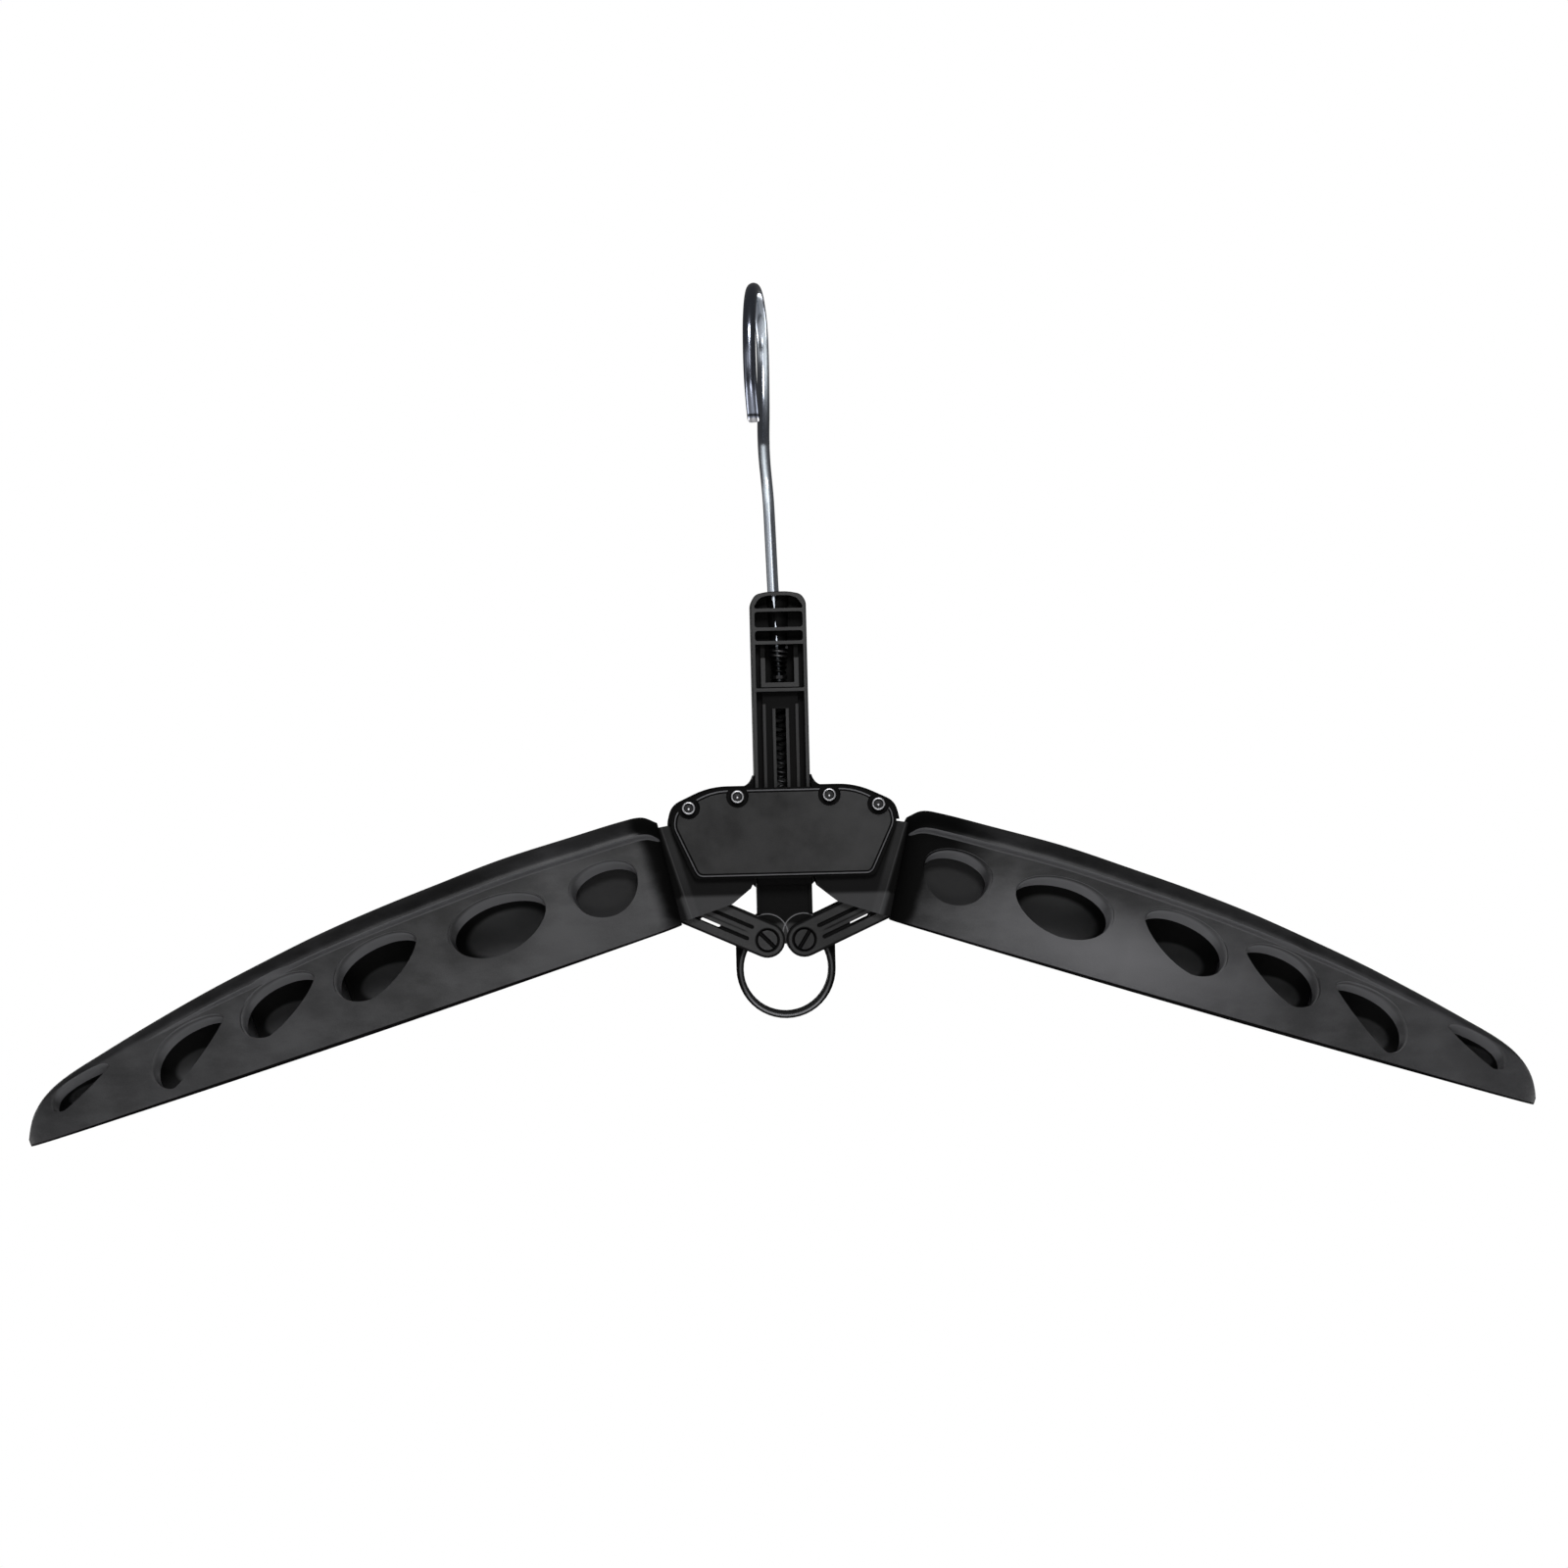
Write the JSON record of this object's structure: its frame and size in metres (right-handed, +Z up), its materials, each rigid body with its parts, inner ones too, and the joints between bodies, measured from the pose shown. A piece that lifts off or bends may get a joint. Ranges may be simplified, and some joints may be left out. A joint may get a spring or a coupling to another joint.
{
  "type": "wetsuit hanger",
  "caption": "Folding wetsuit hanger: wide hollow arms with leaf-shaped holes fold down when the finger ring is pulled; sprung ribbed stem and swivelling wire hook.",
  "frame": {"origin": "where the inside of the hook's loop rests on the rail", "axes": "+Z up, +X towards the hanger's right arm as seen from the front, -Y towards the viewer"},
  "size_m": [0.5015, 0.0436, 0.2801],
  "materials": {
    "hook_steel": "bright drawn wire",
    "spring_steel": "spring wire",
    "screw_steel": "plain",
    "stem_plastic": "satin moulded",
    "housing_plastic": "satin moulded",
    "arm_plastic": "fine satin moulded",
    "link_plastic": "satin moulded",
    "fastener_plastic": "smooth"
  },
  "bodies": {
    "hook": {"hook_wire": "hook_steel", "hook_spring": "spring_steel", "hook_collar": "spring_steel"},
    "stem": {"stem": "stem_plastic", "main_spring": "spring_steel", "left_pivot_screw": "fastener_plastic", "left_pivot_nut": "fastener_plastic", "right_pivot_screw": "fastener_plastic", "right_pivot_nut": "fastener_plastic"},
    "housing": {"rear_shell": "housing_plastic", "front_cover": "housing_plastic", "cover_screw_1": "screw_steel", "cover_screw_2": "screw_steel", "cover_screw_3": "screw_steel", "cover_screw_4": "screw_steel", "left_arm_axle": "screw_steel", "right_arm_axle": "screw_steel"},
    "left_arm": {"left_arm": "arm_plastic"},
    "right_arm": {"right_arm": "arm_plastic"},
    "left_links": {"left_front_link": "link_plastic", "left_rear_link": "link_plastic", "left_link_pin": "screw_steel"},
    "right_links": {"right_front_link": "link_plastic", "right_rear_link": "link_plastic", "right_link_pin": "screw_steel"}
  },
  "joints": [
    {"name": "hook_swivel", "type": "hinge", "parent": "hook", "child": "stem", "pos_m": [0.00614, 0, -0.1255], "axis": [0, 0, 1], "continuous": true},
    {"name": "housing_slide", "type": "slide", "parent": "stem", "child": "housing", "axis": [0, 0, 1], "range_m": [0, 0.0223], "stiffness_N_per_m": 450, "springref_m": -0.03, "deforming": ["main_spring"]},
    {"name": "left_arm_fold", "type": "hinge", "parent": "housing", "child": "left_arm", "pos_m": [-0.01986, 0, -0.1895], "axis": [0, -1, 0], "range_deg": [0, 60]},
    {"name": "right_arm_fold", "type": "hinge", "parent": "housing", "child": "right_arm", "pos_m": [0.03214, 0, -0.1895], "axis": [0, 1, 0], "range_deg": [0, 60]},
    {"name": "left_link_turn", "type": "hinge", "parent": "stem", "child": "left_links", "pos_m": [0.00004, 0, -0.2142], "axis": [0, 1, 0], "range_deg": [0, 37]},
    {"name": "right_link_turn", "type": "hinge", "parent": "stem", "child": "right_links", "pos_m": [0.01224, 0, -0.2142], "axis": [0, -1, 0], "range_deg": [0, 37]}
  ],
  "couplings": [
    {"joint": "right_arm_fold", "follows": "left_arm_fold", "ratio": 1},
    {"joint": "housing_slide", "follows": "left_arm_fold", "m_per_rad": 0.021247},
    {"joint": "left_link_turn", "follows": "left_arm_fold", "ratio": 0.60833},
    {"joint": "right_link_turn", "follows": "left_arm_fold", "ratio": 0.60833}
  ]
}
